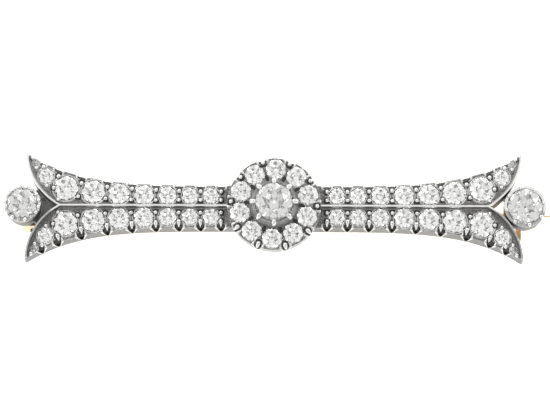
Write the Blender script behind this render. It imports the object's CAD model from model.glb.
# %% [markdown]
# # An old-cut diamond bar brooch
# Two silver arms run out from a domed cluster of stones and end in fishtails, with one stone in
# each fork. The metal is oxidised silver on a gold back, as on brooches of about 1890.
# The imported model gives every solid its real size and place. This script adds what makes it a
# jewel: cut stones, patina and polish, bright-cut edges, grains and claws.

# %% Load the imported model
import math

import bpy
import numpy as np
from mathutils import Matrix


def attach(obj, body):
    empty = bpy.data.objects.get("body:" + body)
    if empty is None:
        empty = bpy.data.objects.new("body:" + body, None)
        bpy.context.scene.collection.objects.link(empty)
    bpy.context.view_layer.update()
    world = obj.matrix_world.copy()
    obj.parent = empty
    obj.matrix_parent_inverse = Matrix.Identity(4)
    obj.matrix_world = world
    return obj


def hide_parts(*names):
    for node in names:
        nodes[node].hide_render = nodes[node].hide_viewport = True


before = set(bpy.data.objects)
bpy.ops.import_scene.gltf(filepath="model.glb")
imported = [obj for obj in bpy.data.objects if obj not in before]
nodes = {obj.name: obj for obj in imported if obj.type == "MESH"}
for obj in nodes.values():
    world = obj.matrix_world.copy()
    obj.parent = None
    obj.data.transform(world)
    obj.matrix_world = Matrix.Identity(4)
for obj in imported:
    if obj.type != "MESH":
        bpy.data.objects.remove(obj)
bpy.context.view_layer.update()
MM = 0.001
print("nodes in the frame:", len(nodes))

# %% [markdown]
# ## Measures taken from the frame
# A jeweller reads a mount with callipers, and the script does the same with the boxes of the
# packed stones. A stone's diameter is the width of its box, and its cut is known in shares of
# that diameter, so the height of its girdle follows from the table on top.

# %% Callipers
TABLE, STAR, CULET = 0.27, 0.393, 0.04       # radii, as shares of a stone's diameter
CROWN, GIRDLE, PAVILION = 0.17, 0.035, 0.42  # heights, as shares of it


def callipers(points):
    """Middle x and y, height of the girdle and diameter of a stone, from its points, all in mm."""
    low, high = points.min(axis=0), points.max(axis=0)
    size = high[0] - low[0]
    girdle_z = high[2] - CROWN * size
    return (low[0] + high[0]) / 2, (low[1] + high[1]) / 2, girdle_z, size


def points_of(name):
    """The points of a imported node, in mm, as rows of x, y and z."""
    mesh = nodes[name].data
    flat = np.empty(len(mesh.vertices) * 3)
    mesh.vertices.foreach_get("co", flat)
    return flat.reshape(-1, 3) / MM


def tail_groups(name):
    """A tail's node holds four loose stones: two rows split by the sign of y, and each row by its
    widest gap."""
    points = points_of(name)
    groups = []
    for side in (1, -1):
        row = points[points[:, 1] * side > 0]
        order = np.sort(np.abs(row[:, 1]))
        widest = np.argmax(np.diff(order))
        split = (order[widest] + order[widest + 1]) / 2
        groups += [row[np.abs(row[:, 1]) < split], row[np.abs(row[:, 1]) >= split]]
    return groups


# %% Measure every stone
stone_names = sorted(name for name in nodes if "stone" in name and "tail" not in name)
stones = {name: callipers(points_of(name)) for name in stone_names}
for side in ("left", "right"):
    for k, group in enumerate(tail_groups(side + "_tail_stones")):
        stones[f"{side}_tail_stone_{k + 1}"] = callipers(group)
middle_x = stones["centre_stone"][0]
bed_z = stones["left_top_stone_1"][2]
ring_z = stones["ring_stone_01"][2]
print("stones:", len(stones), "middle at x =", round(middle_x, 3), "bed at z =", round(bed_z, 3))

# %% [markdown]
# ## Camera
# The photo looks almost straight down on the face, from a little below it, so that the outer wall
# of the lower row shows. A long lens far away keeps the bar's edges parallel, as a product
# photographer does. The width of the frame is worked out from the length of the bar in the photo.

# %% Place the camera
from mathutils import Matrix, Vector

OFF_FACE = 12.0            # degrees between the view and the normal of the face
ROLL = 0.2                 # degrees
FRAME_WIDTH = 62.9         # mm across the photo, at the height of the stones
LENS, SENSOR = 180, 36     # mm
NEAREST = 0.02             # metres, what is closer to the lens isn't drawn
TARGET = Vector((-0.78, 0.0, 6.7)) * MM

camera_data = bpy.data.cameras.new("camera")
camera_data.lens = LENS
camera_data.sensor_width = SENSOR
camera_data.clip_start = NEAREST
camera = bpy.data.objects.new("camera", camera_data)
turn = Matrix.Rotation(math.radians(OFF_FACE), 4, "X") @ Matrix.Rotation(math.radians(ROLL), 4, "Z")
distance = FRAME_WIDTH * MM * LENS / SENSOR
camera.matrix_world = Matrix.Translation(TARGET + turn @ Vector((0, 0, distance))) @ turn
bpy.context.scene.collection.objects.link(camera)
bpy.context.scene.camera = camera
print("camera", round(distance / MM), "mm from the stones")

# %% [markdown]
# ## Colours and nodes
# A colour is written as its sRGB code, as a colour picker shows it. A renderer counts in linear
# light, so one function turns the one into the other. A material is a tree of nodes, and one
# helper adds any kind of node, so that each statement below reads as one node with its inputs.

# %% Colours and nodes
scene = bpy.context.scene
scene.view_settings.view_transform = "Standard"


def linear(hex_code):
    """A colour such as "d8d4cc" as linear RGBA: each sRGB share s becomes ((s + 0.055) / 1.055) ** 2.4."""
    shares = [int(hex_code[k:k + 2], 16) / 255 for k in (0, 2, 4)]
    return [s / 12.92 if s <= 0.04045 else ((s + 0.055) / 1.055) ** 2.4 for s in shares] + [1]


def add(tree, kind, inputs=None, **settings):
    """Adds one node, sets its properties, and fills its inputs with values or with wires from sockets."""
    node = tree.nodes.new(kind)
    for name, value in settings.items():
        setattr(node, name, value)
    for key, value in (inputs or {}).items():
        if isinstance(value, bpy.types.NodeSocket):
            tree.links.new(value, node.inputs[key])
        else:
            node.inputs[key].default_value = value
    return node


def new_material(name):
    """An empty node material with its output: returns the material, its tree and the output node."""
    material = bpy.data.materials.new(name)
    material.use_nodes = True
    tree = material.node_tree
    tree.nodes.clear()
    return material, tree, tree.nodes.new("ShaderNodeOutputMaterial")


print("middle grey 808080 in linear light:", round(linear("808080")[0], 3))

# %% [markdown]
# ## Floor
# The floor is a sheet of white card that lets light through from below. Without that glow the
# card would come out grey next to the silver. It is staging, and no part of the brooch.

# %% Floor
FLOOR_SIZE = 2.4           # metres
FLOOR_GLOW = 0.6           # light that the card lets through from below

floor_mesh = bpy.data.meshes.new("floor")
corners = np.array([[-1, -1], [1, -1], [1, 1], [-1, 1]]) * FLOOR_SIZE / 2
floor_mesh.from_pydata([(x, y, 0) for x, y in corners], [], [(0, 1, 2, 3)])
floor = bpy.data.objects.new("floor", floor_mesh)
scene.collection.objects.link(floor)

paper, tree, output = new_material("white_card")
shader = add(tree, "ShaderNodeBsdfPrincipled", {
    "Base Color": linear("f6f6f5"), "Roughness": 0.7,
    "Emission Color": linear("ffffff"), "Emission Strength": FLOOR_GLOW})
tree.links.new(shader.outputs["BSDF"], output.inputs["Surface"])
floor_mesh.materials.append(paper)
print("white card:", FLOOR_SIZE, "m wide")

# %% [markdown]
# ## Studio light
# A jewel is photographed in a light tent: white all round, with large soft sources above it.
# The tent has an opening for the lens, and that dark round spot matters: a diamond sends much of
# its light back the way it came, so its grey facets are reflections of the opening. Without it
# every facet would be white. The tent could be modelled, but the world does the same: it is white
# in all directions but those within OPENING degrees of the line of sight. Three square lamps
# stand for the softboxes.

# %% World and softboxes
WORLD_LEVEL = 1.0
OPENING = 13.0             # degrees, half the width of the tent's opening as seen from the jewel
OPENING_BLUR = 3.0         # degrees over which its rim fades
OPENING_LEVEL = 0.15       # how bright it is in there
SOFTBOXES = {              # name: (place in metres, width in metres, level of its face)
    "top_box": ((-0.30, 0.48, 0.52), 0.36, 3.5),
    "side_box": ((-0.70, -0.25, 0.40), 0.30, 2.0),
    "back_box": ((0.55, 0.45, 0.35), 0.30, 2.5),
}

world = bpy.data.worlds.new("light_tent")
world.use_nodes = True
tree = world.node_tree
sight = turn @ Vector((0, 0, 1))
direction = add(tree, "ShaderNodeTexCoord").outputs["Generated"]
towards = add(tree, "ShaderNodeVectorMath", {0: direction, 1: tuple(sight)}, operation="DOT_PRODUCT")
cloth = add(tree, "ShaderNodeMapRange", {
    "Value": towards.outputs["Value"],
    "From Min": math.cos(math.radians(OPENING + OPENING_BLUR)),
    "From Max": math.cos(math.radians(OPENING)),
    "To Min": WORLD_LEVEL, "To Max": OPENING_LEVEL})
tree.links.new(cloth.outputs["Result"], tree.nodes["Background"].inputs["Strength"])
tree.nodes["Background"].inputs["Color"].default_value = linear("ffffff")
scene.world = world

for name, (place, width, level) in SOFTBOXES.items():
    lamp = bpy.data.lights.new(name, "AREA")
    lamp.shape = "SQUARE"
    lamp.size = width
    lamp.energy = level * math.pi * width ** 2
    box = bpy.data.objects.new(name, lamp)
    box.location = place
    box.rotation_euler = Vector(place).to_track_quat("Z", "Y").to_euler()
    box.visible_camera = False
    scene.collection.objects.link(box)
print("softboxes:", len(SOFTBOXES))

# %% [markdown]
# ## The stones
# An old European cut has 58 facets: a small octagonal table, a high crown, and a pavilion that
# ends in a polished-off culet. It could be a convex hull of points, but a grid says it better:
# rings are stacked down the stone and sixteen columns go round it. Each ring is an octagon or a
# sixteen-sided girdle, and their heights are such that the facets of an even stone come out flat.
# The cutter worked by eye, so the corners are then put slightly out of round.

# %% Old European cut as a function of ring and column
COLUMNS = 16
HALVES = 0.27              # radius where the lower halves meet, as a share of the diameter
OUT_OF_ROUND = 0.012       # spread of the corners' radii
TILT = 1.2                 # degrees that a stone may lean in its seat
rng = np.random.default_rng(1890)


def octagon(radius, z, corners_at, spread):
    """One ring at the height z: corners on the even (0) or odd (1) columns, and the middles of its
    sides between them. A corner's radius is radius * (1 + spread * random share)."""
    column = np.arange(COLUMNS)
    angle = column * 2 * np.pi / COLUMNS
    radii = radius * (1 + spread * rng.uniform(-1, 1, COLUMNS))
    ring = np.stack([radii * np.cos(angle), radii * np.sin(angle), np.full(COLUMNS, z)], axis=1)
    middle = (np.roll(ring, 1, axis=0) + np.roll(ring, -1, axis=0)) / 2
    return np.where((column % 2 == corners_at)[:, None], ring, middle)


def girdle(z, radii):
    """The girdle's ring: all sixteen columns are corners."""
    angle = np.arange(COLUMNS) * 2 * np.pi / COLUMNS
    return np.stack([radii * np.cos(angle), radii * np.sin(angle), np.full(COLUMNS, z)], axis=1)


def old_cut(size):
    """Points and triangles of a stone of diameter size, girdle at z = 0.
    A ring's height lies on the plane of the kites (crown) or of the mains (pavilion), in which z
    falls evenly with the distance from the axis, measured square to the facet."""
    flat = math.cos(math.pi / 8)
    star_z = CROWN * (0.5 - STAR * flat) / (0.5 - TABLE)
    main_slope = PAVILION / (0.5 - CULET * flat)
    halves_z = -GIRDLE - (0.5 - HALVES * flat) * main_slope
    deep_z = -GIRDLE - PAVILION
    radii = 0.5 * (1 - OUT_OF_ROUND * rng.uniform(0, 1, COLUMNS))
    rings = [
        octagon(TABLE, CROWN, 0, OUT_OF_ROUND),
        octagon(STAR, star_z, 1, OUT_OF_ROUND),
        girdle(0, radii),
        girdle(-GIRDLE, radii),
        octagon(HALVES, halves_z, 1, OUT_OF_ROUND),
        octagon(CULET, deep_z, 1, 0)]
    corner_side = [0, 1, 0, 0, 1, 1]
    points = np.concatenate(rings + [[[0, 0, CROWN]], [[0, 0, deep_z]]]) * size
    count = len(rings) * COLUMNS
    here = np.arange(COLUMNS)
    after = (here + 1) % COLUMNS
    faces = [np.stack([np.full(COLUMNS, count), here, after], axis=1)]
    for level in range(len(rings) - 1):
        a, b = level * COLUMNS + here, level * COLUMNS + after
        c, d = a + COLUMNS, b + COLUMNS
        upper_even = (here % 2 == 0) if corner_side[level] == 0 else (here % 2 == 1)
        first = np.where(upper_even[:, None], np.stack([a, d, b], axis=1), np.stack([a, c, b], axis=1))
        second = np.where(upper_even[:, None], np.stack([a, c, d], axis=1), np.stack([b, c, d], axis=1))
        faces += [first, second]
    last = (len(rings) - 1) * COLUMNS
    faces.append(np.stack([np.full(COLUMNS, count + 1), last + after, last + here], axis=1))
    return points, np.concatenate(faces)


# %% [markdown]
# A mesh is filled in one go: the points and the corner indices are written as whole arrays, which
# is much faster than adding one vertex after another.

# %% From arrays to a piece that rides on the brooch
def piece(name, points, faces, materials, slot, body="brooch", smooth=False):
    """A mesh object from points in mm and rows of corner numbers, riding on a body of the frame."""
    mesh = bpy.data.meshes.new(name)
    points = np.asarray(points, dtype=np.float32) * MM
    faces = np.asarray(faces, dtype=np.int32)
    mesh.vertices.add(len(points))
    mesh.vertices.foreach_set("co", points.ravel())
    mesh.loops.add(faces.size)
    mesh.loops.foreach_set("vertex_index", faces.ravel())
    mesh.polygons.add(len(faces))
    mesh.polygons.foreach_set("loop_start", np.arange(len(faces), dtype=np.int32) * faces.shape[1])
    mesh.polygons.foreach_set("use_smooth", np.full(len(faces), smooth))
    mesh.update(calc_edges=True)
    mesh.validate()
    for material in materials:
        mesh.materials.append(material)
    thing = bpy.data.objects.new(name, mesh)
    scene.collection.objects.link(thing)
    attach(thing, body)
    return thing


# %% [markdown]
# ## Diamond
# Diamond bends light more than any other clear stone, IOR 2.42. Its facets are not quite flat:
# polishing lines and a century of rubbing leave a faint wave, and since light crosses the stone
# several times, that breaks the reflections up into fine grey and white flakes. The wave could be
# modelled, but a bump gives the same flakes and leaves the cut crisp. The large stones of such a
# brooch are often a little greyer than the small ones, so they have a diamond of their own.

# %% Diamond
DIAMOND_IOR = 2.42
FLAKE, FLAKE_DEPTH = 0.22, 0.02          # mm, size and depth of the wave in the facets


def diamond(name, colour, wave):
    """Clear stone of a slight colour; wave is the strength of the unevenness of its facets."""
    material, tree, output = new_material(name)
    coords = add(tree, "ShaderNodeTexCoord").outputs["Object"]
    noise = add(tree, "ShaderNodeTexNoise", {"Vector": coords, "Scale": 1 / (FLAKE * MM), "Detail": 2.0})
    relief = add(tree, "ShaderNodeBump", {
        "Height": noise.outputs["Fac"], "Strength": wave, "Distance": FLAKE_DEPTH * MM})
    shader = add(tree, "ShaderNodeBsdfPrincipled", {
        "Base Color": linear(colour), "Roughness": 0.0, "IOR": DIAMOND_IOR, "Transmission Weight": 1.0,
        "Normal": relief.outputs["Normal"]})
    tree.links.new(shader.outputs["BSDF"], output.inputs["Surface"])
    return material


white_diamond = diamond("old_cut_diamond", "fbfbfa", 0.2)
grey_diamond = diamond("old_cut_diamond_grey", "e7e7e6", 0.3)
print("diamonds:", white_diamond.name, grey_diamond.name)

# %% [markdown]
# ## Setting the stones
# A setter turns each stone until it sits firmly, so no two lie alike. Each packed stone is replaced
# by a cut of its own size in its own seat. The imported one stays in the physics, where it collides.

# %% Set the stones
def set_stone(measure):
    """Cuts a stone of the measured size, turns and tilts it, and puts it in its seat."""
    x, y, z, size = measure
    points, faces = old_cut(size)
    lean = Matrix.Rotation(math.radians(TILT * rng.uniform(-1, 1)), 3, "X")
    lean = lean @ Matrix.Rotation(math.radians(TILT * rng.uniform(-1, 1)), 3, "Y")
    lean = lean @ Matrix.Rotation(rng.uniform(0, 2 * math.pi), 3, "Z")
    points = points @ np.array(lean).T + np.array([x, y, z])
    return points, faces


def joined(parts):
    """Several (points, faces) pairs as one pair, with the corner numbers moved on."""
    starts = np.cumsum([0] + [len(points) for points, _ in parts[:-1]])
    return (np.concatenate([points for points, _ in parts]),
            np.concatenate([faces + start for (_, faces), start in zip(parts, starts)]))


for name in stone_names:
    large = name.startswith("centre") or "_end_" in name
    cut = piece(name.replace("stone", "diamond"), *set_stone(stones[name]),
                [grey_diamond if large else white_diamond], "diamond")
    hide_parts(name)
for side in ("left", "right"):
    tail = [set_stone(stones[name]) for name in stones if name.startswith(side + "_tail")]
    cut = piece(side + "_tail_diamonds", *joined(tail), [white_diamond], "diamond")
    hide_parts(side + "_tail_stones")
print("triangles in one stone:", len(old_cut(1)[1]))

# %% [markdown]
# ## Metal
# Old silver tarnishes to a near black where nothing rubs it and stays light where fingers and
# cloth reach it. Two nodes find those places. Ambient occlusion tells how shut in a point is, so
# that the bed between the stones goes dark. The bevel node tells where an edge is near: its
# rounded normal leaves the face's own normal there, and the wear follows that difference.
# It could be painted by hand, but the two nodes find the same places on any shape.
# Above the height of a grain's shoulder the metal is burnished in any case, and so are the cones
# below the stones: the setter cut them bright, and no air gets there. The lower half of this
# brooch is duller than the upper one, so it has less of the wear.

# %% Where the silver is shut in, and where it is worn
SHUT_IN = 0.65             # mm, how far the tarnish looks for neighbours
OPEN = 0.9                 # ambient occlusion from which on a point lies in the open
WORN_EDGE = 0.28           # mm, width of the light rim along an edge
UNBENT, BENT = 0.995, 0.9  # agreement of the normals where the wear begins, and where it is full
LOW_SHOULDER, HIGH_SHOULDER = -0.08, 0.06    # mm from polished_from, where the polish comes in
DULL_BELOW = -0.5          # mm, the lower half of the brooch, below this y, is worn less
DULL_FADE = 0.3            # mm, over which that comes in
LOWER_WEAR = 0.4           # how much of the wear the lower half has
SEAT_FACING = (0.5 - CULET) / math.hypot(0.5 - CULET, PAVILION)     # upward share of a seat's normal
SEAT_MARGIN = 0.03         # how far a normal may be from it


def open_and_polished(tree, place, own, facing, polished_from, dark_at, worn):
    """How open a point lies and how polished it is, each from 0 to 1. Polished is the greater of
    the edge's wear and of how far the point is above polished_from, less in the lower half of the
    brooch, and 1 where the normal is that of a seat's cone."""
    shut_in = add(tree, "ShaderNodeAmbientOcclusion", {"Distance": SHUT_IN * MM},
                  samples=8, only_local=True)
    open_air = add(tree, "ShaderNodeMapRange", {
        "Value": shut_in.outputs["AO"], "From Min": dark_at, "From Max": OPEN}).outputs["Result"]
    rounded = add(tree, "ShaderNodeBevel", {"Radius": WORN_EDGE * MM}, samples=6).outputs["Normal"]
    agree = add(tree, "ShaderNodeVectorMath", {0: own, 1: rounded}, operation="DOT_PRODUCT")
    edge = add(tree, "ShaderNodeMapRange", {
        "Value": agree.outputs["Value"], "From Min": UNBENT, "From Max": BENT}).outputs["Result"]
    shoulder = add(tree, "ShaderNodeMapRange", {
        "Value": place.outputs["Z"], "From Min": (polished_from + LOW_SHOULDER) * MM,
        "From Max": (polished_from + HIGH_SHOULDER) * MM})
    kept = add(tree, "ShaderNodeMapRange", {
        "Value": place.outputs["Y"], "From Min": (DULL_BELOW - DULL_FADE) * MM,
        "From Max": DULL_BELOW * MM, "To Min": LOWER_WEAR})
    reach = add(tree, "ShaderNodeMath", {0: edge, 1: open_air}, operation="MULTIPLY")
    rubbed = add(tree, "ShaderNodeMath", {0: reach.outputs[0], 1: worn}, operation="MULTIPLY")
    off_cone = add(tree, "ShaderNodeMath", {0: facing, 1: SEAT_FACING}, operation="SUBTRACT")
    off_cone = add(tree, "ShaderNodeMath", {0: off_cone.outputs[0]}, operation="ABSOLUTE")
    seat = add(tree, "ShaderNodeMath", {0: off_cone.outputs[0], 1: SEAT_MARGIN}, operation="LESS_THAN")
    polish = add(tree, "ShaderNodeMath", {0: rubbed.outputs[0], 1: shoulder.outputs[0]},
                 operation="MAXIMUM")
    polish = add(tree, "ShaderNodeMath", {0: polish.outputs[0], 1: kept.outputs[0]}, operation="MULTIPLY")
    polish = add(tree, "ShaderNodeMath", {0: polish.outputs[0], 1: seat.outputs[0]}, operation="MAXIMUM")
    return open_air, polish.outputs[0]


print("upward share of a seat's normal:", round(SEAT_FACING, 3))

# %% [markdown]
# ## The grey film
# Tarnish is no even coat. Under a lens it is cloudy, it follows the lines of the file that run
# along the bar, and on the bed, where the graver worked, small facets flash out of the grey. Three
# noises of three real sizes make that: clouds, file lines and grit. The lines are drawn as coarse
# as they need to be to show.

# %% Colour of the film
CLOUD, FILE_LINE, GRIT = 0.22, 0.05, 0.14      # mm
LINE_STRETCH = 0.12        # how fast the file lines change along the bar, as a share of across it
CRUST_GREY, BED_GREY = "565553", "6f6e6d"      # where it is shut in, and on the open bed
CLOUD_TONES, LINE_TONES = (0.65, 1.35), (0.8, 1.2)       # darkest and lightest, times the colour
GRIT_DARK, WALL_FLASH, BED_FLASH = 0.85, 1.2, 2.8        # the same for the grit, by where it lies
STEEP, LEVEL = 0.7, 0.95   # upward share of the normal of a slope and of a level face
BED_FROM, BED_FULL = -0.5, -0.1                # mm from the bed, heights that count as part of it


def film(tree, coords, place, facing, open_air, bed_level, wall):
    """Colour of the film, and the file lines for its relief. A wall has the colour wall, a face
    between the stones a darker one, and where it is shut in the film is darkest. All that is
    multiplied by the clouds, the lines and the grit."""
    clouds = add(tree, "ShaderNodeTexNoise", {"Vector": coords, "Scale": 1 / (CLOUD * MM), "Detail": 4.0})
    along = add(tree, "ShaderNodeMapping", {"Vector": coords, "Scale": (LINE_STRETCH, 1, 1)})
    lines = add(tree, "ShaderNodeTexNoise", {
        "Vector": along.outputs[0], "Scale": 1 / (FILE_LINE * MM), "Detail": 2.0})
    grit = add(tree, "ShaderNodeTexNoise", {"Vector": coords, "Scale": 1 / (GRIT * MM), "Detail": 1.0})
    upwards = add(tree, "ShaderNodeMapRange", {"Value": facing, "From Min": STEEP, "From Max": LEVEL})
    height = add(tree, "ShaderNodeMapRange", {
        "Value": place.outputs["Z"], "From Min": (bed_level + BED_FROM) * MM,
        "From Max": (bed_level + BED_FULL) * MM})
    on_bed = add(tree, "ShaderNodeMath", {0: upwards.outputs[0], 1: height.outputs[0]}, operation="MULTIPLY")
    satin = add(tree, "ShaderNodeMix", {
        "Factor": on_bed.outputs[0], "A": linear(wall), "B": linear(BED_GREY)}, data_type="RGBA")
    grey = add(tree, "ShaderNodeMix", {
        "Factor": open_air, "A": linear(CRUST_GREY), "B": satin.outputs["Result"]}, data_type="RGBA")
    cloudy = add(tree, "ShaderNodeMapRange", {
        "Value": clouds.outputs["Fac"], "From Min": 0.3, "From Max": 0.7,
        "To Min": CLOUD_TONES[0], "To Max": CLOUD_TONES[1]})
    streak = add(tree, "ShaderNodeMapRange", {
        "Value": lines.outputs["Fac"], "From Min": 0.3, "From Max": 0.7,
        "To Min": LINE_TONES[0], "To Max": LINE_TONES[1]})
    pitted = add(tree, "ShaderNodeMapRange", {
        "Value": on_bed.outputs[0], "To Min": WALL_FLASH, "To Max": BED_FLASH})
    flash = add(tree, "ShaderNodeMapRange", {
        "Value": grit.outputs["Fac"], "From Min": 0.52, "From Max": 0.7, "To Min": GRIT_DARK,
        "To Max": pitted.outputs["Result"]})
    spread = add(tree, "ShaderNodeMath", {0: cloudy.outputs[0], 1: streak.outputs[0]}, operation="MULTIPLY")
    spread = add(tree, "ShaderNodeMath", {0: spread.outputs[0], 1: flash.outputs[0]}, operation="MULTIPLY")
    colour = add(tree, "ShaderNodeVectorMath", {0: grey.outputs["Result"], "Scale": spread.outputs[0]},
                 operation="SCALE")
    return colour.outputs[0], lines.outputs["Fac"]


# %% [markdown]
# ## Oxidised silver
# The two are put together: the more polished a point is, the more of the bare silver shows, and
# the smoother and more metallic it is. Tarnish scatters light as well as mirrors it, which gives
# the eye a grey that stays grey also where it faces the white tent. The arms and the cluster could
# have one silver, but the cluster is worn less and its walls are lighter, so each has its own.

# %% Oxidised silver
BARE_SILVER = "ebebea"
TARNISH_METAL = 0.65       # how metallic the film is
SATIN, MIRROR = 0.48, 0.2  # roughness of the film and of the bare silver
LINE_DEPTH = 0.012         # mm, depth of the file lines


def oxidised_silver(name, bed_level, polished_from, dark_at, worn, wall):
    """Silver that is darkest where the ambient occlusion is dark_at or less, burnished above the
    height polished_from, in mm, and lightened on its edges by the share worn."""
    material, tree, output = new_material(name)
    coords = add(tree, "ShaderNodeTexCoord").outputs["Object"]
    place = add(tree, "ShaderNodeSeparateXYZ", {0: coords})
    own = add(tree, "ShaderNodeNewGeometry").outputs["True Normal"]
    facing = add(tree, "ShaderNodeSeparateXYZ", {0: own}).outputs["Z"]
    open_air, polish = open_and_polished(tree, place, own, facing, polished_from, dark_at, worn)
    colour, lines = film(tree, coords, place, facing, open_air, bed_level, wall)
    tone = add(tree, "ShaderNodeMix", {
        "Factor": polish, "A": colour, "B": linear(BARE_SILVER)}, data_type="RGBA")
    rough = add(tree, "ShaderNodeMapRange", {"Value": polish, "To Min": SATIN, "To Max": MIRROR})
    bare = add(tree, "ShaderNodeMapRange", {"Value": polish, "To Min": TARNISH_METAL, "To Max": 1.0})
    relief = add(tree, "ShaderNodeBump", {"Height": lines, "Strength": 0.5, "Distance": LINE_DEPTH * MM})
    shader = add(tree, "ShaderNodeBsdfPrincipled", {
        "Base Color": tone.outputs["Result"], "Metallic": bare.outputs["Result"],
        "Roughness": rough.outputs["Result"], "Normal": relief.outputs["Normal"]})
    tree.links.new(shader.outputs["BSDF"], output.inputs["Surface"])
    return material


centre_z = stones["centre_stone"][2]
arm_silver = oxidised_silver(
    "oxidised_silver_arms", bed_level=bed_z, polished_from=bed_z + 0.35,
    dark_at=0.1, worn=1.0, wall="858584")
cluster_silver = oxidised_silver(
    "oxidised_silver_cluster", bed_level=ring_z, polished_from=centre_z + 0.15,
    dark_at=0.15, worn=0.3, wall="bcbcbb")
print("nodes in the silver:", len(arm_silver.node_tree.nodes))

# %% [markdown]
# ## Burnished silver
# Grains, claws and bright cuts are rubbed with a steel burnisher last, so they are the brightest
# silver. It leaves fine scratches, which spread the highlights a little. One noise serves both for
# the roughness and for the relief, so that the ridges beside the scratches are the dull places.

# %% Burnished silver
SCRATCH = 0.08             # mm, width of the scratches, drawn as coarse as they need to be to show
SCRATCH_DEPTH = 0.006      # mm

burnished, tree, output = new_material("burnished_silver")
coords = add(tree, "ShaderNodeTexCoord").outputs["Object"]
scratch = add(tree, "ShaderNodeTexNoise", {"Vector": coords, "Scale": 1 / (SCRATCH * MM), "Detail": 3.0})
rough = add(tree, "ShaderNodeMapRange", {
    "Value": scratch.outputs["Fac"], "To Min": 0.12, "To Max": 0.34}).outputs["Result"]
relief = add(tree, "ShaderNodeBump", {
    "Height": scratch.outputs["Fac"], "Strength": 0.3, "Distance": SCRATCH_DEPTH * MM})
shader = add(tree, "ShaderNodeBsdfPrincipled", {
    "Base Color": linear("dddddc"), "Metallic": 1.0, "Roughness": rough, "Normal": relief.outputs["Normal"]})
tree.links.new(shader.outputs["BSDF"], output.inputs["Surface"])
print("made", burnished.name)

# %% [markdown]
# ## Silver sulphide
# In the notches nothing ever rubs, and the film grows into a black crust. It has only a weak
# metallic sheen and its fine grains make it dull. It could be one flat black, but two greys that
# change from grain to grain let it look like a deposit.

# %% Silver sulphide
def deposit(name, dark, light, grain, strength, depth, metallic, roughness):
    """A crust of two tones, grain wide and depth deep in mm: one noise gives tone and height."""
    material, tree, output = new_material(name)
    coords = add(tree, "ShaderNodeTexCoord").outputs["Object"]
    grains = add(tree, "ShaderNodeTexNoise", {"Vector": coords, "Scale": 1 / (grain * MM), "Detail": 4.0})
    tone = add(tree, "ShaderNodeMix", {
        "Factor": grains.outputs["Fac"], "A": linear(dark), "B": linear(light)}, data_type="RGBA")
    relief = add(tree, "ShaderNodeBump", {
        "Height": grains.outputs["Fac"], "Strength": strength, "Distance": depth * MM})
    shader = add(tree, "ShaderNodeBsdfPrincipled", {
        "Base Color": tone.outputs["Result"], "Metallic": metallic, "Roughness": roughness,
        "Normal": relief.outputs["Normal"]})
    tree.links.new(shader.outputs["BSDF"], output.inputs["Surface"])
    return material


sulphide = deposit(
    "silver_sulphide", "1a1a19", "4a4946", grain=0.12, strength=0.6, depth=0.02,
    metallic=0.4, roughness=0.55)
print("made", sulphide.name)

# %% [markdown]
# ## Fifteen carat gold
# This gold holds copper and silver, so it is paler than pure gold. Cloth and skin have rubbed it
# for a century, which leaves it satin in some places and bright in others. A coarse noise gives
# those places, and a fine one the scratches, drawn as coarse as they need to be to show.

# %% Gold
WORN_SPOT = 0.6                          # mm
FINE_SCRATCH, FINE_DEPTH = 0.06, 0.008   # mm, width and depth

gold, tree, output = new_material("fifteen_carat_gold")
coords = add(tree, "ShaderNodeTexCoord").outputs["Object"]
wear = add(tree, "ShaderNodeTexNoise", {"Vector": coords, "Scale": 1 / (WORN_SPOT * MM), "Detail": 5.0})
fine = add(tree, "ShaderNodeTexNoise", {"Vector": coords, "Scale": 1 / (FINE_SCRATCH * MM), "Detail": 2.0})
tone = add(tree, "ShaderNodeMix", {
    "Factor": wear.outputs["Fac"], "A": linear("dcbd8a"), "B": linear("f2e0bf")}, data_type="RGBA")
rough = add(tree, "ShaderNodeMapRange", {
    "Value": wear.outputs["Fac"], "From Min": 0.3, "From Max": 0.7, "To Min": 0.2, "To Max": 0.42})
relief = add(tree, "ShaderNodeBump", {
    "Height": fine.outputs["Fac"], "Strength": 0.3, "Distance": FINE_DEPTH * MM})
shader = add(tree, "ShaderNodeBsdfPrincipled", {
    "Base Color": tone.outputs["Result"], "Metallic": 1.0, "Roughness": rough.outputs["Result"],
    "Normal": relief.outputs["Normal"]})
tree.links.new(shader.outputs["BSDF"], output.inputs["Surface"])
print("made", gold.name)

# %% [markdown]
# ## Blackened steel
# The rivet of the hinge is a steel wire, blackened and a little rusty, because it can't be reached
# to clean it. Brown spots in the black tell it from the silver's tarnish.

# %% Blackened steel
steel = deposit(
    "blackened_steel", "141312", "3b342e", grain=0.15, strength=0.5, depth=0.015,
    metallic=1.0, roughness=0.5)
print("made", steel.name)

# %% [markdown]
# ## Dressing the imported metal
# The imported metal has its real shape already. It could be copied and refined, but then the looks
# and the physics might differ, so its meshes stay as they are and get the material they are made of.

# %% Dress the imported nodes
FINISH = {
    "left_arm": arm_silver, "right_arm": arm_silver, "cluster_mount": cluster_silver,
    "gold_back": gold, "hinge_rivet": steel, "pin": gold, "catch_sleeve": gold}
for name, material in FINISH.items():
    mesh = nodes[name].data
    mesh.materials.clear()
    mesh.materials.append(material)
    print(name, len(mesh.polygons), "triangles")

# %% [markdown]
# ## Where the setter worked
# Between two stones the setter left a grain on each side and cut a notch into the outer wall.
# The places follow from the stones: a spot lies midway between two neighbours, and the notch is
# found on the outer edge, whose course is read from the arm's own points at the height of the bed.

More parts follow.
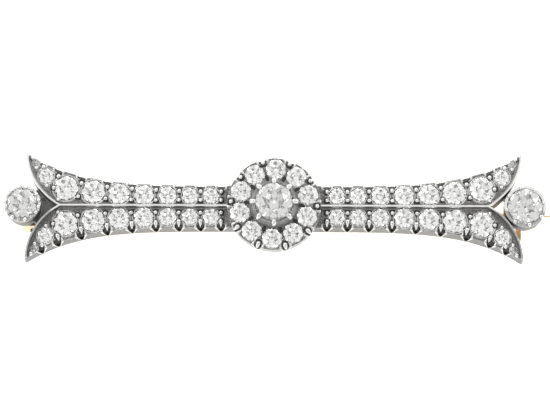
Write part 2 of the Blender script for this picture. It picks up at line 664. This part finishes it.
# %% Spots between the stones
# How far a grain stands beside its spot, as a share of the stones' mean radius, and 0 for no grain
SIDE_SHARE = [0.52] * 6 + [0.56, 0.62, 0]
ROW_STONES, RING_STONES = 7, 10
LEAD = 0.6                 # first spot before the first stone, as a share of its diameter
SLIP = 0.6                 # how much of the way square to the edge a notch follows
SLOPE_REACH = 0.3          # mm to each side, over which the slope of the edge is taken
SAME_HEIGHT = 0.01         # mm, how far a point of the bed may be from its height
SAME_WIDTH = 1e-4          # mm, how far it may stay behind the greatest width so far
TAIL_STONES = {"top": (1, 2), "low": (3, 4)}
NOTCH_WIDTH = 0.92         # mm
NOTCH_DEPTH = 2.04         # mm below the bed of an arm
RING_NOTCH_DEPTH = 1.25    # mm below the bed of the ring


def edge_of(arm):
    """The outer edge of an arm as distances from the middle and half widths: the bed's points,
    taken in order of distance, that set a new greatest width."""
    points = points_of(arm)
    bed = points[np.abs(points[:, 2] - bed_z) < SAME_HEIGHT]
    bed = bed[np.argsort(np.abs(bed[:, 0] - middle_x))]
    reach, half = np.abs(bed[:, 0] - middle_x), np.abs(bed[:, 1])
    widest = half >= np.maximum.accumulate(half) - SAME_WIDTH
    return reach[widest], half[widest]


def row_spots(side, row):
    """Spots of one row, each as x and y from the middle, slope of the edge in radians, x and y of
    its notch on the edge, and how far its grains stand to each side."""
    reach, half = edge_of(side + "_arm")
    names = [f"{side}_{row}_stone_{k}" for k in range(1, ROW_STONES + 1)]
    names += [f"{side}_tail_stone_{k}" for k in TAIL_STONES[row]]
    table = np.array([stones[name] for name in names])
    x, y, size = np.abs(table[:, 0] - middle_x), np.abs(table[:, 1]), table[:, 3]
    mid_x = np.append(x[0] - LEAD * size[0], (x[:-1] + x[1:]) / 2)
    mid_y = np.append(y[0], (y[:-1] + y[1:]) / 2)
    mean_radius = np.append(size[0] / 2, (size[:-1] + size[1:]) / 4)
    rise = np.interp(mid_x + SLOPE_REACH, reach, half) - np.interp(mid_x - SLOPE_REACH, reach, half)
    slope = np.arctan2(rise, 2 * SLOPE_REACH)
    slip = SLIP * (np.interp(mid_x, reach, half) - mid_y) * np.sin(slope) * np.cos(slope)
    edge_x = mid_x - slip
    edge_y = np.interp(edge_x, reach, half)
    return np.stack([mid_x, mid_y, slope, edge_x, edge_y, mean_radius * SIDE_SHARE], axis=1)


# %% [markdown]
# A place is an origin and three axes: along the edge, outwards and up. A form that is made once
# in such axes fits every notch: on the left arm its x is mirrored, and in the lower row its y.

# %% Places and their axes
def arm_place(side, row, x, y, slope):
    """Origin on the bed and the axes along the edge, outwards and up, for a place on an arm."""
    flip = np.array([-1 if side == "left" else 1, 1 if row == "top" else -1, 1])
    along = [math.cos(slope), math.sin(slope), 0]
    out = [-math.sin(slope), math.cos(slope), 0]
    return np.array([x, y, bed_z]) * flip + [middle_x, 0, 0], np.array([along, out, [0, 0, 1]]) * flip


def round_place(angle, radius, z):
    """The same for a place on the cluster at an angle in radians, a radius and a height."""
    out = [math.cos(angle), math.sin(angle), 0]
    along = [-math.sin(angle), math.cos(angle), 0]
    return np.array([middle_x, 0, z]) + np.array(out) * radius, np.array([along, out, [0, 0, 1]])


# %% Find all the spots
ring = np.array([stones[f"ring_stone_{k:02d}"] for k in range(1, RING_STONES + 1)])
ring_spots = np.arctan2(ring[:, 1], ring[:, 0] - middle_x) - math.pi / RING_STONES
mount = points_of("cluster_mount")
rim_r = np.hypot(mount[:, 0] - middle_x, mount[:, 1]).max()
rows = {(side, row): row_spots(side, row) for side in ("left", "right") for row in ("top", "low")}
print("spots:", sum(map(len, rows.values())), "on the arms,", len(ring_spots), "on the ring")

# %% [markdown]
# ## Forms along a path
# Grains, bright cuts and patches of tarnish are all one kind of form: an ellipse that travels
# along a path while its width and height change. Written as arrays, the path has a row for each
# place, the ellipse a column for each corner, and broadcasting makes the whole grid at once.

# %% An ellipse that travels along a path
SIDES = 10
OUT, UP = 1, 2             # rows of a place's axes


def skin(rows, columns, closed=False):
    """Triangles over a grid of points, two to a cell. Each row is a ring, and if closed the rows
    are a ring too."""
    row, column = np.meshgrid(np.arange(rows - 1 + closed), np.arange(columns), indexing="ij")
    after, below = (column + 1) % columns, (row + 1) % rows * columns
    a, b = row * columns + column, row * columns + after
    c, d = below + column, below + after
    return np.concatenate([np.stack([a, c, d], axis=-1), np.stack([a, d, b], axis=-1)]).reshape(-1, 3)


def swept(path, up, width, height):
    """A closed form. At each place on the path stands an ellipse, width across and height above
    and below, square to the path: point = place + side * width / 2 * cos(a) + up * height * sin(a)."""
    ahead = np.gradient(path, axis=0)
    side = np.cross(ahead, up)
    side /= np.linalg.norm(side, axis=1, keepdims=True)
    up = np.cross(side, ahead)
    up /= np.linalg.norm(up, axis=1, keepdims=True)
    a = np.linspace(0, 2 * math.pi, SIDES, endpoint=False)[None, :, None]
    rings = (path[:, None, :] + side[:, None, :] * width[:, None, None] / 2 * np.cos(a)
             + up[:, None, :] * height[:, None, None] * np.sin(a))
    count = len(path)
    here, after = np.arange(SIDES), (np.arange(SIDES) + 1) % SIDES
    first, last = np.full(SIDES, count * SIDES), np.full(SIDES, count * SIDES + 1)
    end = (count - 1) * SIDES
    caps = [np.stack([first, here, after], axis=1), np.stack([last, end + after, end + here], axis=1)]
    points = np.concatenate([rings.reshape(-1, 3), path[:1], path[-1:]])
    return points, np.concatenate([skin(count, SIDES)] + caps)


def through(knots, shares):
    """Points at the given shares of the way along the straight lines through a few knots."""
    knots = np.asarray(knots, dtype=float)
    gone = np.append(0, np.cumsum(np.linalg.norm(np.diff(knots, axis=0), axis=1)))
    return np.stack([np.interp(shares * gone[-1], gone, knots[:, k]) for k in range(3)], axis=1)


# %% [markdown]
# ## Grains and claws
# A grain is a curl of silver that the setter raised beside a stone and rounded with a hollow
# punch. The inner grains are small balls. The outer ones of the lower rows were drawn out over the
# notch into teardrops, and so were the heads of the claws. They could be sculpted, but a radius
# that changes along a path gives each one the same clean outline with few faces. The path goes
# through a few knots, given in mm along, outwards and up from the form's place.

# %% Grains and claws
DROP_LENGTH, DROP_WIDTH = 0.94, 0.56     # mm, teardrop of an outer grain
DROP_POWER = 1.2                         # how long its thin end is drawn out
BEAD_WIDTH, BEAD_RISE = 0.53, 0.10       # mm, a round grain and the height of its middle
CLAW_WIDTH = 0.62                        # mm, the head of a claw


def pole_to_pole(steps, short):
    """Angles from 0 to pi that stop a little short of both, so that no ring is a point."""
    return np.linspace(short, math.pi - short, steps)


def teardrop(place, axes, knots, width):
    """Teardrop with its round end at the first knot: for u from 0 to pi the share of the way is
    (1 - cos(u)) / 2 and the radius sin(u) * cos(u / 2) ** DROP_POWER, scaled to the width."""
    u = pole_to_pole(steps=14, short=0.08)
    path = through(knots, (1 - np.cos(u)) / 2)
    radius = np.sin(u) * np.cos(u / 2) ** DROP_POWER
    radius *= width / 2 / radius.max()
    return swept(place + path @ axes, np.tile(axes[UP], (len(u), 1)), 2 * radius, radius)


def drop(place, axes, at):
    """An outer grain: a teardrop on the bed, drawn out towards the edge."""
    start = at - DROP_WIDTH / 2
    return teardrop(place, axes, [
        (0, start, 0.12), (0, start + 0.6 * DROP_LENGTH, 0.04), (0, start + DROP_LENGTH, -0.08)], DROP_WIDTH)


def claw(place, axes):
    """A claw's head over the middle stone, drawn out down the collet's wall."""
    return teardrop(place, axes, [
        (0, -0.34, 0.2), (0, 0, 0.18), (0, 0.24, -0.1), (0, 0.38, -0.8)], CLAW_WIDTH)


def bead(place, axes, at):
    """A round grain: a sphere, as a circle of radius sin(u) that is -cos(u) along its axis, both
    times half its width."""
    u = pole_to_pole(steps=11, short=0.12)
    local = np.stack([0 * u, at - BEAD_WIDTH / 2 * np.cos(u), 0 * u + BEAD_RISE], axis=1)
    radius = BEAD_WIDTH / 2 * np.sin(u)
    return swept(place + local @ axes, np.tile(axes[UP], (len(u), 1)), 2 * radius, radius)


# %% [markdown]
# ## Patches of tarnish
# The black crust lies in the notches and beside the grains, where no brush reaches. It could be
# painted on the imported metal, but it has sharp borders that follow the notches, so it is a thin
# leaf of its own that lies on the silver.

# %% Patches of tarnish
PATCH_RISE = 0.012                       # mm, half the thickness of a patch
PATCH_LIFT = 0.004                       # mm above the bed, in a notch
PATCH_LAP, PATCH_SHORT = 0.06, 0.05      # mm, it starts inside the wall and ends short of the edge
NOTCH_IN, NOTCH_SLOPE = 0.42, 0.5        # mm, how far a notch cuts in, and how its floor falls


def patch(place, axes, knots, width, facing=UP):
    """A flat patch of tarnish with round ends: for u from 0 to pi it is width * sin(u) ** 0.6 wide."""
    u = pole_to_pole(steps=14, short=0.06)
    path = through(knots, (1 - np.cos(u)) / 2)
    return swept(place + path @ axes, np.tile(axes[facing], (len(u), 1)), width * np.sin(u) ** 0.6,
                 np.full(len(u), PATCH_RISE))


def flat(inner, outer):
    """Knots of a patch that lies on the bed, from inner to outer."""
    return [(0, inner, 0), (0, outer, 0)]


def into_notch(wall, depth):
    """Knots of a patch that starts inside the wall of a notch, and slopes down through the notch."""
    return [(0, wall - PATCH_LAP, PATCH_LIFT), (0, wall, PATCH_LIFT),
            (0, wall + NOTCH_IN - PATCH_SHORT, -depth)]


# %% [markdown]
# ## Bright cuts
# With a polished graver the setter cuts a narrow facet along both sides of each notch. It
# catches the light and frames the notch. The strip is widest on the bed, as an ear beside the
# grain, goes over the edge and thins out down the wall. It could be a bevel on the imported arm, but
# a bevel has one width, and these cuts live from how their width changes.

# %% Bright cuts
CUT_RISE = 0.05                          # mm, how proud a bright cut stands
CUT_STEPS = 20                           # places along it
EAR_WIDTH, FLANK_WIDTH = 0.31, 0.12      # mm, of a bright cut on the bed and on the wall
EAR_LENGTH = 0.62                        # mm, from the outer edge inwards
EAR_SHARE, FLANK_FROM, THIN_OUT = 0.55, 0.15, 0.25   # shares of the way: ear, start of the flank, end


def bright_cut(place, axes, side, depth):
    """Burnished rim of a notch on one side. Its knots are the inner end of the ear, the edge of
    the bed, the wall just below it, a place low on the flank, and the notch's point. Its normal
    turns from up to outwards where it goes over the edge. The ear is EAR_WIDTH times half a sine
    wave wide, and the flank keeps its width until it thins out at the end."""
    half = NOTCH_WIDTH / 2
    gone = np.linspace(0, 1, CUT_STEPS)
    path = through([
        (side * (half + 0.10), -EAR_LENGTH, 0),
        (side * (half + 0.13), -0.04, 0),
        (side * (half + 0.10), 0, -0.04),
        (side * (0.4 * half + 0.06), 0, -0.8 * depth),
        (side * 0.02, 0, -depth - 0.05)], gone)
    over = np.clip((path[:, 1] + 0.10) / 0.10, 0, 1)[:, None]
    up = over * axes[OUT] + (1 - over) * axes[UP]
    up /= np.linalg.norm(up, axis=1, keepdims=True)
    ear = EAR_WIDTH * np.sin(np.clip(gone / EAR_SHARE, 0, 1) * math.pi * 0.98 + 0.03)
    flank = FLANK_WIDTH * np.clip((1 - gone) / THIN_OUT, 0.1, 1)
    return swept(place + path @ axes, up, np.maximum(ear, flank * (gone > FLANK_FROM)),
                 np.full(CUT_STEPS, CUT_RISE))


# %% [markdown]
# ## Rims of the seats
# Where a seat's edge is pushed against its stone, a thin bright rim is left. A torus would be too
# even for a rim that was pushed over by hand, so its tube grows and shrinks on its way round.

# %% Rims of the seats
RIM_WIDTH, RIM_RISE = 0.09, 0.035        # mm
RIM_GAP = 0.02                           # mm, between a rim and its stone
RIM_WAVE = 0.35                          # how much its width changes on its way round


def hoop(x, y, z, radius):
    """The rim of a seat: a flat ring round a stone. Its tube is an ellipse whose size at the angle
    t is 1 + RIM_WAVE * sin(3 * t + a) * sin(2 * t + b), with random a and b for each stone."""
    turns, tubes = 40, 6
    t = np.linspace(0, 2 * math.pi, turns, endpoint=False)[:, None]
    a = np.linspace(0, 2 * math.pi, tubes, endpoint=False)[None, :]
    wave = 1 + RIM_WAVE * np.sin(3 * t + rng.uniform(0, 6)) * np.sin(2 * t + rng.uniform(0, 6))
    reach = radius + RIM_WIDTH / 2 * wave * (1 + np.cos(a))
    points = np.stack([x + reach * np.cos(t), y + reach * np.sin(t),
                       z + RIM_RISE * wave * np.sin(a) + 0 * t], axis=-1)
    return points.reshape(-1, 3), skin(turns, tubes, closed=True)


# %% [markdown]
# ## What every notch gets
# Hundreds of grains and cuts as objects of their own would be slow and hard to handle. They are
# gathered in groups, such as the grains of one row, and each group will become one mesh. A notch
# is the same on the arms and on the cluster: two bright cuts, and black on its floor and wall.

# %% Gather the small forms
FLOOR_BLACK, WALL_BLACK = 0.86, 0.8      # mm, widths of the patches in a notch

groups = {}


def keep(group, part):
    """Adds a small form to the piece that it will be joined into."""
    groups.setdefault(group, []).append(part)


def keep_notch(group, notch, depth):
    """Adds the two bright cuts of a notch and the tarnish on its floor and on its inner wall, which
    reaches from 0.1 mm below the bed down to 0.9 of the notch's depth."""
    for cut in (-1, 1):
        keep(group + "_bright_cuts", bright_cut(*notch, cut, depth))
    wall = [(0, -NOTCH_IN, -0.1), (0, -NOTCH_IN, -0.9 * depth)]
    keep(group + "_tarnish", patch(*notch, into_notch(-NOTCH_IN, NOTCH_SLOPE), FLOOR_BLACK))
    keep(group + "_tarnish", patch(*notch, wall, WALL_BLACK, OUT))


# %% [markdown]
# ## Grains and notches of the arms
# Each spot between two stones has a grain on either side, lying in black, and its notch in the
# outer edge. The grains of the upper rows are round, those of the lower rows are drawn out. In the
# tails the stones are too small for that, so their grains stand where there was room for them.

# %% The arms
OUTER_BLACK, INNER_BLACK = 0.8, 0.78     # mm, widths of the black beside the outer and inner grains
OUTER_FROM, OUTER_OVERLAP = -0.4, 0.04   # mm, from before the grain to just over the notch's edge
INNER_FROM, INNER_TO = -0.38, 0.4        # mm, inwards and outwards from the inner grain
# Grains of a tail, as shares of the way from its small stone to its tiny one: along that way, and
# aside from it
TAIL_GRAINS = [(0.54, 0.20), (0.75, -0.19), (1.36, 0), (-0.50, -0.33), (-1.59, -0.28)]

for (side, row), spots in rows.items():
    for x, y, slope, edge_x, edge_y, grain in spots:
        spot = arm_place(side, row, x, y, slope)
        notch = arm_place(side, row, edge_x, edge_y, slope)
        gap = math.hypot(edge_x - x, edge_y - y) - NOTCH_IN
        keep_notch(f"{side}_{row}", notch, NOTCH_DEPTH)
        if grain:
            keep(f"{side}_{row}_grains", drop(*spot, grain) if row == "low" else bead(*spot, grain))
            keep(f"{side}_{row}_grains", bead(*spot, -grain))
            outer = flat(grain + OUTER_FROM, gap + OUTER_OVERLAP)
            inner = flat(-grain + INNER_FROM, -grain + INNER_TO)
            keep(f"{side}_{row}_tarnish", patch(*spot, outer, OUTER_BLACK))
            keep(f"{side}_{row}_tarnish", patch(*spot, inner, INNER_BLACK))
    near, far = (np.array(stones[f"{side}_tail_stone_{k}"][:2]) for k in TAIL_STONES[row])
    flip = 1 if (side == "left") == (row == "low") else -1
    for on, aside in TAIL_GRAINS:
        way = far - near
        x, y = near + on * way + flip * aside * np.array([-way[1], way[0]])
        keep(f"{side}_{row}_grains", bead(np.array([x, y, bed_z]), np.eye(3), 0))
print("forms on the arms:", sum(map(len, groups.values())))

# %% [markdown]
# ## Grains, notches and claws of the cluster
# The ring round the middle stone is set like the arms, with one grain over each notch. The middle
# stone has a collet of its own, whose eight claws lean over its edge. One notch could be copied
# round, but only the lower grains are drawn out, so each place is made for itself.

# %% The cluster
MIDDLE_BLACK = 2.76                      # mm, radius where the black between the ring's stones begins
MIDDLE_BLACK_SIZE = 0.7, 0.42            # mm, its length outwards and its width
RING_BLACK = 0.76                        # mm, width of the black beside the ring's outer grains
RING_BLACK_AT = -0.9, -0.38              # mm, from where to where it lies, seen from the outer edge
LOW_DOWN = -0.4                          # sine of the angle below which these grains are teardrops
CLAWS, COLLET_WALL = 8, 0.2              # number of claws, and how far outside the stone they stand

for angle in ring_spots:
    notch = round_place(angle, rim_r, ring_z)
    keep_notch("cluster", notch, RING_NOTCH_DEPTH)
    low_down = math.sin(angle) < LOW_DOWN
    start, (length, width) = MIDDLE_BLACK - rim_r, MIDDLE_BLACK_SIZE
    keep("cluster_grains", drop(*notch, -NOTCH_IN) if low_down else bead(*notch, -NOTCH_IN))
    keep("cluster_tarnish", patch(*notch, flat(*RING_BLACK_AT), RING_BLACK))
    keep("cluster_tarnish", patch(*notch, flat(start, start + length), width))
claw_r = stones["centre_stone"][3] / 2 + COLLET_WALL
for angle in np.arange(CLAWS) * 2 * math.pi / CLAWS:
    keep("claws", claw(*round_place(angle, claw_r, centre_z)))
print("claws:", len(groups["claws"]), "at", round(claw_r, 2), "mm from the middle")

# %% [markdown]
# ## Rims and end collets
# Every stone of the rows and tails lies in a bright rim. The stones at the ends stand in tall
# collets, with small round grains all round the edge. That could be a beaded wire, but spheres on
# a circle give the same.

# %% The rims of the seats and the grains of the end collets
RIM_GRAINS, RIM_GRAIN_OUT = 8, 0.12      # number of grains on an end collet, mm outside its stone

for name, (x, y, z, size) in stones.items():
    side, row = name.split("_")[:2]
    if row in ("top", "low", "tail"):
        keep(side + "_seat_rims", hoop(x, y, z, size / 2 + RIM_GAP))
    if row == "end":
        for turned in (np.arange(RIM_GRAINS) + 0.25) * 2 * math.pi / RIM_GRAINS:
            at = np.array([math.cos(turned), math.sin(turned), 0]) * (size / 2 + RIM_GRAIN_OUT)
            keep(side + "_collet_grains", bead(np.array([x, y, z]) + at, np.eye(3), 0))
print("rims:", sum(len(parts) for name, parts in groups.items() if name.endswith("rims")))

# %% [markdown]
# ## Joining the forms
# Each group becomes one smooth piece of burnished silver or of sulphide. All of it belongs to the
# silver or grew on it, so it rides on the brooch.

# %% Join each group into one piece
for name, parts in groups.items():
    black = name.endswith("tarnish")
    piece(name, *joined(parts), [sulphide if black else burnished], "silver", smooth=True)
    print(name, sum(len(faces) for _, faces in parts), "triangles")
